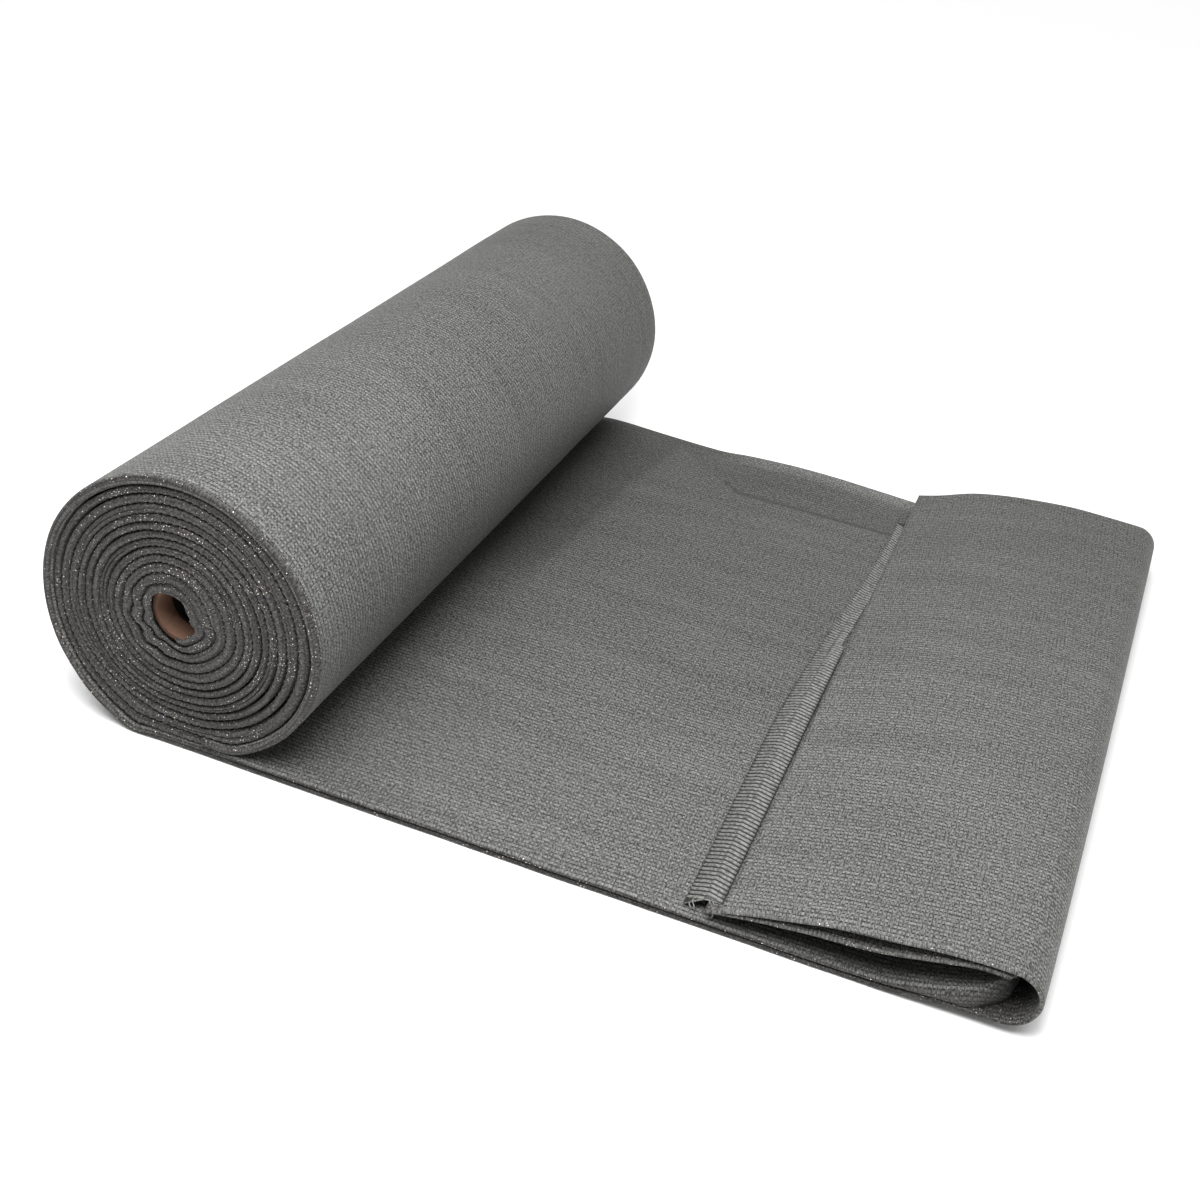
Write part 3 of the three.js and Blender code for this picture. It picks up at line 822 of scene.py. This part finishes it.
def shade_tone_marks(position, count):
    """Painted shade below 1 where the upper plies don't reach, beside the roll, in creases, at far parts
    and inside the fold; painted light above 1 at the thin far edge.
    """
    values = [1.0] * count
    for j, across in enumerate(ACROSS):
        if position < STRIP_STARTS:
            values[j] = mix(1, CREASE_SHADE, bump(across, CREASE_AT, CREASE_HALF))
        elif position > BEND_STARTS - 2:
            far_share = ease(0.4, 1.0, across) * ease(BEND_STARTS, FLAP_STARTS, position)
            values[j] = mix(1, FLAP_FAR_SHADE, far_share)
            values[INNER_ENDS - 1 - j] = SHADED_TONE
        else:
            values[INNER_ENDS - 1 - j] = laid_shade_tone(position, across)
    return values


def loose_piece():
    rings, lengths, around, fold_shade_glint, tone = [], [], [], [], []
    length, before = 0.0, None
    for position in sheet_positions():
        here = face_point(position, "outer", 0.5)
        length += math.dist(here, before or here)
        before = here
        ring, ring_around = sheet_ring(position)
        rings.append(ring)
        around.append(ring_around)
        lengths.append(length * MM)
        fold_shade_glint += fold_shade_glint_marks(position, len(ring))
        tone += shade_tone_marks(position, len(ring))
    region_starts = {FACE_POINTS + FAR_FOLD_POINTS, SLIT_STARTS, SLIT_TURNS}
    marks = {"fold_shade_glint": fold_shade_glint, "tone": tone}
    return cloth_mesh("loose_sheet", rings, lengths, marks, around, region_starts), length


loose_sheet, loose_length = loose_piece()
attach(loose_sheet, "root")
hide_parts("loose_end")
print(f"loose sheet: {loose_length / 1000:.2f} m long, {len(loose_sheet.data.polygons)} faces")

# %% [markdown]
# The ribbed band. Where the cloth is cut, its end is bound with a knitted tape, and the tape has
# two rows of slanted ribs, like plaits side by side. Each rib is two rounded strands of yarn. They
# could be a pattern in the material, but they stand high enough to cast shadows on each other, so
# they are modelled. A thin base holds them together.

# %% The ribbed band
BAND = {"width": 12.0, "seam": 2.3, "start": 5.5, "end": 416.0}
BAND_RIBS = (8.1, 412.6)  # the first and the last place of a rib
BAND_STEPS = 100
RIB_PITCH = 2.9
RIB_SLANTS = (-4.6, -2.4)  # how far a rib of each row runs along the band
RIB_CROWN = 0.05
RIB_POINTS = 6
STRAND_RADIUS = 0.40
STRAND_APART = 0.42  # from a rib's middle to each of its two strands
BAR_SIDES = 8
BAR_TAPER = 0.7  # a bar's ends are this much thinner
ROW_SHARES = ((0.02, 0.51), (0.49, 0.98))
BASE_SHARES = (0.02, 0.2, 0.4, 0.5, 0.6, 0.7, 0.8, 1.0)
BASE_THICK = 0.8
THREADS = 4
THREAD_RADIUS = 0.26
END_ROW = FLAP[-1]


def band_line(y):
    """The band's underside at a place along the cloth's end, as three points of (X, Z)."""
    across = y / WIDTH
    slant = end_slant(across)
    inner_end = END_ROW["inner"][0] + END_ROW["far_inner"][0] * slant
    inner_low = END_ROW["inner"][1] + END_ROW["far_inner"][1] * slant
    upper_ply = END_ROW["outer"][0] + END_ROW["far"][0] * across - 0.7
    covered = ease(-4, 0, inner_end - upper_ply)
    left = inner_end - BAND["seam"] - BAND["width"] + 3.2 * (1 - slant)
    middle = mix(inner_end - 0.6, inner_end - BAND["seam"], covered)
    middle_z = mix(inner_low + PAIR + 0.3, inner_low, covered)
    right = max(middle + 0.3, upper_ply)
    return (left, floor_height(left, y) + 0.2), (middle, middle_z), (right, middle_z + 0.1)


def along_band(line, share):
    """A point of the underside by its share of the band's width."""
    (x0, z0), (x1, z1), (x2, z2) = line
    x = mix(x0, x2, share)
    if x < x1:
        rise_share = ease(-0.15, 1.0, (x - x0) / (x1 - x0))
        return x, mix(z0, z1, rise_share)
    return x, mix(z1, z2, (x - x1) / (x2 - x1))


def floor_height(x, y):
    """Height of the laid cloth's upper face below a place."""
    across = y / WIDTH
    positions = [STRIP_STARTS + 8 + k * 0.05 for k in range(80)]
    nearest = min(positions, key=lambda p: abs(face_point(p, "inner", across)[0] - x))
    return face_point(nearest, "inner", across)[1] + rise(nearest, x, across)


def bar(points, radius):
    """Rings of a round bar along a line of points."""
    rings = []
    for i, point in enumerate(points):
        before, after = points[max(i - 1, 0)], points[min(i + 1, len(points) - 1)]
        along = (after - before).normalized()
        side = along.cross(Vector((0, 0, 1))).normalized()
        up = side.cross(along)
        size = radius * MM * (BAR_TAPER if i in (0, len(points) - 1) else 1.0)
        corners = [k * math.tau / BAR_SIDES for k in range(BAR_SIDES)]
        rings.append([point + side * (math.cos(a) * size) + up * (math.sin(a) * size) for a in corners])
    return rings


def stray_thread(chance):
    """A loose thread at the band's near end, hanging down towards the laid cloth."""
    x, z = along_band(band_line(BAND["start"]), chance.uniform(0.1, 0.95))
    drift_x, drift_y = chance.uniform(-1, 4), chance.uniform(2, 5.5)
    sag = z - 5.4
    points = []
    for k in range(RIB_POINTS):
        share = k / (RIB_POINTS - 1)
        sway = 0.7 * math.sin(5 * share + x)
        at_y = BAND["start"] + 1 - drift_y * share
        points.append(place(x + drift_x * share + sway, at_y, z + 0.9 - sag * share ** 1.5))
    return points


def rib_strand(line, row, y, height, strand):
    """One of a rib's two strands, arched across its row."""
    points = []
    for k in range(RIB_POINTS):
        share = k / (RIB_POINTS - 1)
        x, z = along_band(line, mix(*ROW_SHARES[row], share))
        crown = height + RIB_CROWN * math.sin(math.pi * share)
        at_y = y + RIB_SLANTS[row] * (share - 0.5) + strand * STRAND_APART
        points.append(place(x, at_y, z + crown))
    return points


def band_piece():
    chance = random.Random(5)
    vertices, faces = [], []
    base_rings = []
    for i in range(BAND_STEPS + 1):
        y = mix(BAND["start"], BAND["end"], i / BAND_STEPS)
        under = [along_band(band_line(y), share) for share in BASE_SHARES]
        ring = [place(x, y, z) for x, z in under]
        base_rings.append(ring + [place(x, y, z + BASE_THICK) for x, z in reversed(under)])
    add_rings(vertices, faces, base_rings)
    ribs = 0
    y, last_y = BAND_RIBS
    while y < last_y:
        line = band_line(y)
        for row in range(len(ROW_SHARES)):
            jog = chance.uniform(-0.08, 0.08)
            height = BASE_THICK - 0.08 + chance.uniform(-0.06, 0.06)
            for strand in (-1, 1):
                points = rib_strand(line, row, y + jog, height, strand)
                add_rings(vertices, faces, bar(points, STRAND_RADIUS))
            ribs += 1
        y += RIB_PITCH
    for _ in range(THREADS):
        add_rings(vertices, faces, bar(stray_thread(chance), THREAD_RADIUS))
    piece = new_piece("band", vertices, faces)
    base_faces = 2 * len(BASE_SHARES) * BAND_STEPS
    for polygon in piece.data.polygons:
        polygon.material_index = 1 if polygon.index < base_faces else 0
    finish_mesh(piece)
    return piece, ribs


band, rib_count = band_piece()
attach(band, "root")
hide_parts("end_band")
print("band:", rib_count, "ribs,", len(band.data.polygons), "faces")

# %% [markdown]
# The tube. It is wound from strips of brown paper. A plain cylinder with its ends cut open is enough:
# the wall gets its thickness from a solidify modifier, and a small bevel breaks the two rims.

# %% The tube
tube_low, tube_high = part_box("core_tube")
TUBE_WALL = 2.6
TUBE_RIM = 0.4
TUBE_SIDES = 96
tube_middle = (Vector(tube_low) + Vector(tube_high)) / 2
bpy.ops.object.select_all(action="DESELECT")
bpy.ops.mesh.primitive_cylinder_add(
    vertices=TUBE_SIDES, radius=TUBE_RADIUS * MM, depth=tube_high[1] - tube_low[1], end_fill_type="NOTHING",
    location=tube_middle, rotation=(math.pi / 2, 0, 0),
)
tube = bpy.context.object
tube.name = "tube"
bpy.ops.object.transform_apply(location=True, rotation=True, scale=True)
wall = tube.modifiers.new("wall", "SOLIDIFY")
wall.thickness = TUBE_WALL * MM
wall.offset = -1
bpy.ops.object.modifier_apply(modifier=wall.name)
rim = tube.modifiers.new("rim", "BEVEL")
rim.width = TUBE_RIM * MM
rim.segments = 2
rim.limit_method = "ANGLE"
bpy.ops.object.modifier_apply(modifier=rim.name)
finish_mesh(tube)
bpy.ops.object.shade_smooth_by_angle(angle=math.radians(40))
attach(tube, "root")
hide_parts("core_tube")
print("tube:", len(tube.data.polygons), "faces")

# %% [markdown]
# Materials. A small set of helpers keeps each one short: a node by its type, and sums and curves
# of values by maths nodes.

# %% Helpers for materials
class Shader:
    """A material with short ways to add and join nodes."""

    def __init__(self, name, roughness):
        self.material = bpy.data.materials.new(name)
        self.material.use_nodes = True
        self.tree = self.material.node_tree
        self.surface = self.tree.nodes["Principled BSDF"]
        self.surface.inputs["Roughness"].default_value = roughness

    def node(self, kind, **settings):
        made = self.tree.nodes.new(kind)
        for key, value in settings.items():
            setattr(made, key, value)
        return made

    def join(self, source, target):
        if isinstance(source, (int, float, tuple)):
            target.default_value = source
        else:
            self.tree.links.new(source, target)

    def vector(self, x, y):
        made = self.node("ShaderNodeCombineXYZ")
        self.join(x, made.inputs[0])
        self.join(y, made.inputs[1])
        return made.outputs[0]

    def parts(self, vector):
        made = self.node("ShaderNodeSeparateXYZ")
        self.join(vector, made.inputs[0])
        return made.outputs[0], made.outputs[1]

    def mark(self, name):
        return self.node("ShaderNodeAttribute", attribute_name=name).outputs["Fac"]

    def math(self, operation, a, b=None):
        made = self.node("ShaderNodeMath", operation=operation)
        for value, socket in zip((a, b), made.inputs):
            if value is not None:
                self.join(value, socket)
        return made.outputs[0]

    def varied(self, value, middle, amount):
        """How far a value is from its middle, times an amount."""
        return self.math("MULTIPLY", self.math("SUBTRACT", value, middle), amount)

    def blend(self, share, a, b):
        """Colour a where share is 0, colour b where it is 1."""
        made = self.node("ShaderNodeMix", data_type="RGBA")
        self.join(share, made.inputs[0])
        self.join(a, made.inputs[6])
        self.join(b, made.inputs[7])
        return made.outputs[2]

    def between(self, value, low, high, out_low=0.0, out_high=1.0):
        made = self.node("ShaderNodeMapRange", interpolation_type="SMOOTHSTEP")
        for item, socket in zip((value, low, high, out_low, out_high), made.inputs):
            self.join(item, socket)
        return made.outputs[0]

    def noise(self, vector, scale, detail):
        made = self.node("ShaderNodeTexNoise")
        self.join(vector, made.inputs["Vector"])
        made.inputs["Scale"].default_value = scale
        made.inputs["Detail"].default_value = detail
        return made.outputs["Fac"]

    def bumped(self, height, strength, distance):
        made = self.node("ShaderNodeBump")
        made.inputs["Strength"].default_value = strength
        made.inputs["Distance"].default_value = distance
        self.join(height, made.inputs["Height"])
        self.join(made.outputs["Normal"], self.surface.inputs["Normal"])


print("helpers ready")

# %% [markdown]
# The knit. Chains of stitches run along the cloth 1.9 millimetres apart, two to a repeat, and flat
# tape is laid over them every 2.5 millimetres, with small dark holes between. So the material has
# cells: each has its own brightness, a raised middle and a hole. Over them lie noises of four
# scales, from the flecks of the tape to slow clouds. A picture of a knit could be repeated over the
# cloth instead, but from half a metre the eye finds such repeats at once. The folded edges are
# painted darker, as painted shade, and get painted glints: bright specks put into the colour, as
# painted highlights where the tape is bent tight.

# %% The knit material
KNIT = (0.121, 0.122, 0.116)
# painted shade: the darker colour of the folded edges, strongest at the roll's end, which faces away from
# the light
FOLD_SHADE_COLOUR = (0.045, 0.0425, 0.0415)
# painted highlight: the colour of the bright specks on the folded edges
PAINTED_GLINT = (0.9, 0.82, 0.74)
TAPE_PITCH = 2.5
DRIFT = 1.4  # how far the rows of cells wander, in cells
THREAD_SLANT = -0.05  # the tape crosses the cloth at a slight angle
THREAD_STRETCH = 0.30  # and its flecks are about three times as long as wide
STREAK_STRETCH = 0.09
FLECKS = (1750, 1, 3.3)  # scale, detail and amount of brightness of each noise
GRAIN = (450, 2, 1.7)
STREAKS = (75, 2, 0.42)
CLOUDS = (14, 2, 0.3)
CELL_AMOUNT = 0.34  # how much brightness a stitch, a chain and a cell's chance each add
DARKEST = 0.25
HOLE_FROM, HOLE_FULL = 0.34, 0.56
HOLE_TONE = 0.12
KNIT_HEIGHT = 0.0005


def knit_material(name, base, fold_shade):
    """base is the cloth's colour; the second colour is painted shade for the folded edges; both linear."""
    s = Shader(name, 0.6)
    uv = s.node("ShaderNodeUVMap", uv_map="cloth").outputs[0]
    along, across = s.parts(uv)
    drift = s.math("MULTIPLY", s.noise(uv, 22, 1), DRIFT)
    slanting = s.math("ADD", along, s.math("MULTIPLY", across, THREAD_SLANT))
    u = s.math("ADD", s.math("DIVIDE", slanting, STITCH * MM / 2), drift)
    v = s.math("ADD", s.math("DIVIDE", across, TAPE_PITCH * MM), drift)
    chance = s.node("ShaderNodeTexWhiteNoise", noise_dimensions="3D")
    s.join(s.vector(s.math("FLOOR", u), s.math("FLOOR", v)), chance.inputs[0])
    tone = chance.outputs["Value"]

    def wave(value):
        """1 in the middle of a cell, 0 at its borders."""
        return s.math("COSINE", s.varied(s.math("FRACT", value), 0.5, math.pi))

    def cloud(vector, scale, detail, amount):
        return s.varied(s.noise(vector, scale, detail), 0.5, amount)

    stitch = s.math("MULTIPLY", wave(u), s.math("SQRT", wave(v)))
    fine = s.noise(s.vector(slanting, s.math("MULTIPLY", across, THREAD_STRETCH)), *FLECKS[:2])
    stretched = s.vector(s.math("MULTIPLY", along, STREAK_STRETCH), across)
    level = 1.0
    for added in (
        s.varied(stitch, 0.5, CELL_AMOUNT), s.varied(fine, 0.5, FLECKS[2]),
        s.varied(tone, 0.5, CELL_AMOUNT), s.varied(wave(u), 0.64, CELL_AMOUNT),
        cloud(uv, *GRAIN), cloud(uv, *CLOUDS), cloud(stretched, *STREAKS),
    ):
        level = s.math("ADD", added, level)
    # the tone mark brings in the painted shade and painted light kept at the sheet's points
    shade = s.math("MULTIPLY", s.math("MAXIMUM", level, DARKEST), s.mark("tone"))
    fold_shade_glint = s.mark("fold_shade_glint")
    # the folded edges take the painted shade colour
    scaled = s.node("ShaderNodeVectorMath", operation="SCALE")
    s.join(s.blend(s.math("POWER", fold_shade_glint, 1.6), (*base, 1), (*fold_shade, 1)), scaled.inputs[0])
    s.join(shade, scaled.inputs["Scale"])
    corner = s.math("MULTIPLY", wave(u), s.math("SUBTRACT", 1.0, wave(v)))
    hole = s.math("MULTIPLY", s.between(corner, HOLE_FROM, HOLE_FULL), s.between(tone, 0.1, 0.5, 0.0, 0.95))
    colour = s.blend(hole, scaled.outputs[0], (*[c * HOLE_TONE for c in base], 1))
    # painted glints: bright specks mixed into the colour of the folded edges
    glint_clusters = s.between(s.noise(uv, 45, 1), 0.45, 0.68, 0.0, 0.07)
    glint_specks = s.between(s.math("ADD", s.noise(uv, 1350, 0), glint_clusters), 0.80, 0.825)
    painted_glint_mask = s.math("MULTIPLY", s.between(fold_shade_glint, 0.1, 0.5), glint_specks)
    s.join(s.blend(painted_glint_mask, colour, (*PAINTED_GLINT, 1)), s.surface.inputs["Base Color"])
    s.surface.inputs["Sheen Weight"].default_value = 0.04
    s.surface.inputs["Specular IOR Level"].default_value = 0.2
    s.bumped(s.math("ADD", s.math("MULTIPLY", stitch, 0.4), fine), 0.4, KNIT_HEIGHT)
    return s.material


knit = knit_material("knit_grey", KNIT, FOLD_SHADE_COLOUR)
winding.data.materials.append(knit)
loose_sheet.data.materials.append(knit)
print("knit:", len(knit.node_tree.nodes), "nodes")

# %% [markdown]
# The yarn of the band, and the tube's brown paper. The band's ribs and its base share one function
# and differ in colour: the base is painted near black, as painted shade in the gaps between the ribs.
# The tube's wall is painted dark from about a centimetre inwards, as painted shade where the light
# doesn't reach inside.

# %% The yarn and the paper
RIB_COLOURS = ((0.225, 0.225, 0.213), (0.10, 0.10, 0.095))
# painted shade: the band's near-black base darkens the gaps between the ribs
GAP_SHADE_COLOURS = ((0.028, 0.028, 0.026), (0.018, 0.018, 0.017))
PAPER_COLOURS = ((0.13, 0.068, 0.043), (0.20, 0.108, 0.07))
# painted shade deep inside the tube, where the light doesn't reach
TUBE_INSIDE_SHADE = (0.012, 0.008, 0.006)
TUBE_LIT = 0.0105
TUBE_SHADE_BLEND = 0.0015


def plain_yarn(name, light, dark):
    s = Shader(name, 0.6)
    fibre = s.noise(s.node("ShaderNodeTexCoord").outputs["Object"], 700, 3)
    s.join(s.blend(s.between(fibre, 0.34, 0.6), (*dark, 1), (*light, 1)), s.surface.inputs["Base Color"])
    s.bumped(fibre, 0.4, 0.0004)
    return s.material


def cardboard_material():
    s = Shader("paper_tube", 0.85)
    place_on = s.node("ShaderNodeTexCoord").outputs["Object"]
    fibre = s.noise(place_on, 500, 4)
    paper = s.blend(fibre, *[(*colour, 1) for colour in PAPER_COLOURS])
    from_end = s.math("SUBTRACT", tube_high[1], s.math("ABSOLUTE", s.parts(place_on)[1]))
    # deeper than about a centimetre the wall turns to the painted shade colour
    depth = s.between(from_end, TUBE_LIT, TUBE_LIT + TUBE_SHADE_BLEND)
    s.join(s.blend(depth, paper, (*TUBE_INSIDE_SHADE, 1)), s.surface.inputs["Base Color"])
    s.bumped(fibre, 0.25, 0.0005)
    return s.material


band.data.materials.append(plain_yarn("band_yarn", *RIB_COLOURS))
band.data.materials.append(plain_yarn("band_gap_shade", *GAP_SHADE_COLOURS))
tube.data.materials.append(cardboard_material())
print("materials:", ", ".join(m.name for m in bpy.data.materials))
